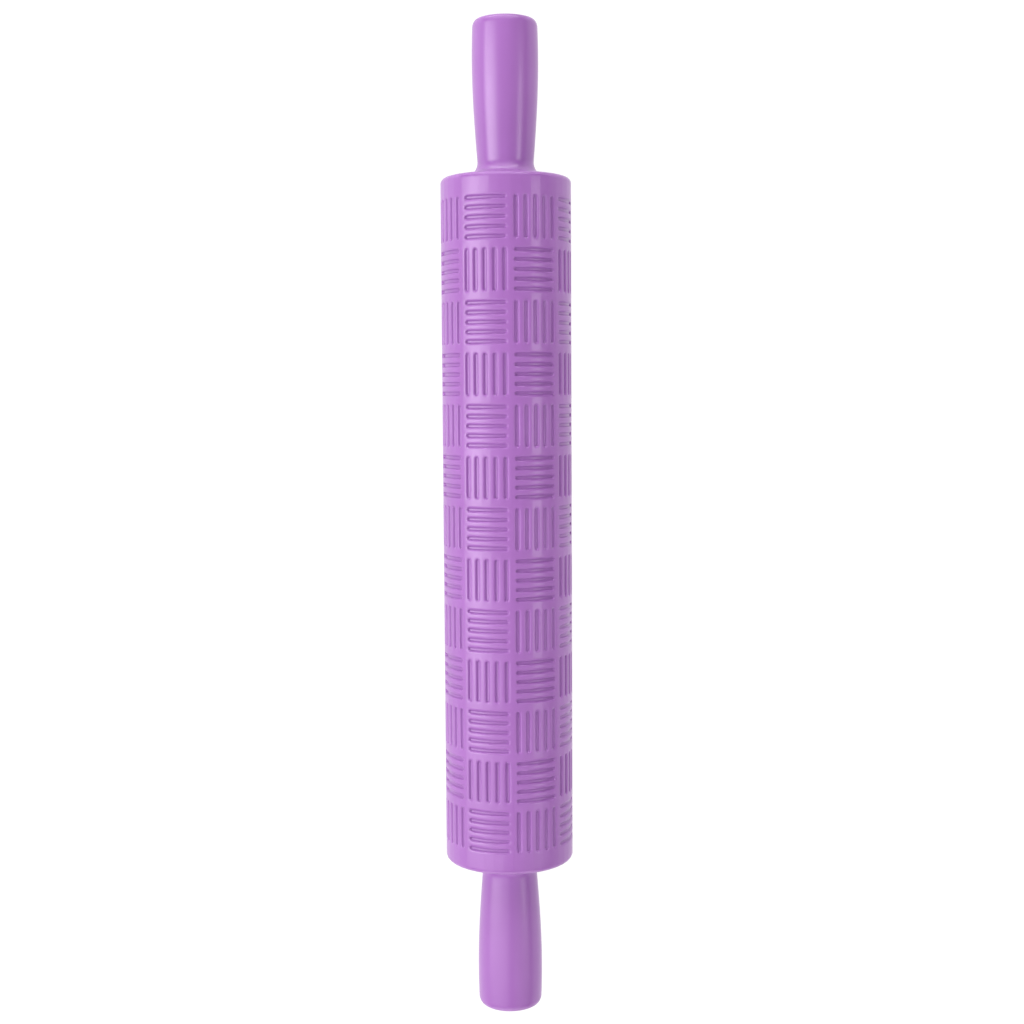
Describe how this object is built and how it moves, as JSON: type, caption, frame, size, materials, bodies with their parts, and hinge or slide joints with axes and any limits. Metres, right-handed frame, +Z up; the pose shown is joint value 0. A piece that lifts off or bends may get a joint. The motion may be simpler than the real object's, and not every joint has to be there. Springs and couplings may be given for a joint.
{
  "type": "embossed rolling pin",
  "caption": "Rolling pin whose plastic barrel is cut with a basket weave of short slots and turns on a steel axle between two waisted grips.",
  "frame": {"origin": "the middle of the pin, on the axle's axis", "axes": "+X along the axle towards the right handle, +Z up, away from the worktop that the barrel lies on"},
  "size_m": [0.33, 0.043, 0.043],
  "materials": {
    "barrel_plastic": "satin lilac moulded plastic",
    "cap_plastic": "satin lilac moulded plastic",
    "handle_plastic": "satin lilac moulded plastic",
    "bush_nylon": "natural nylon",
    "axle_steel": "ground steel rod",
    "washer_brass": "plain brass",
    "fixing_steel": "zinc plated steel"
  },
  "bodies": {
    "roller": {"embossed_barrel": "barrel_plastic", "end_cap_left": "cap_plastic", "end_cap_right": "cap_plastic", "axle_bush_left": "bush_nylon", "axle_bush_right": "bush_nylon"},
    "handles": {"axle_rod": "axle_steel", "thrust_washer_left": "washer_brass", "thrust_washer_right": "washer_brass", "handle_left": "handle_plastic", "handle_right": "handle_plastic", "handle_screw_left": "fixing_steel", "handle_screw_right": "fixing_steel", "screw_washer_left": "fixing_steel", "screw_washer_right": "fixing_steel", "end_plug_left": "handle_plastic", "end_plug_right": "handle_plastic"}
  },
  "joints": [
    {"name": "barrel_spin", "type": "hinge", "parent": "roller", "child": "handles", "pos_m": [0, 0, 0], "axis": [1, 0, 0], "continuous": true}
  ]
}
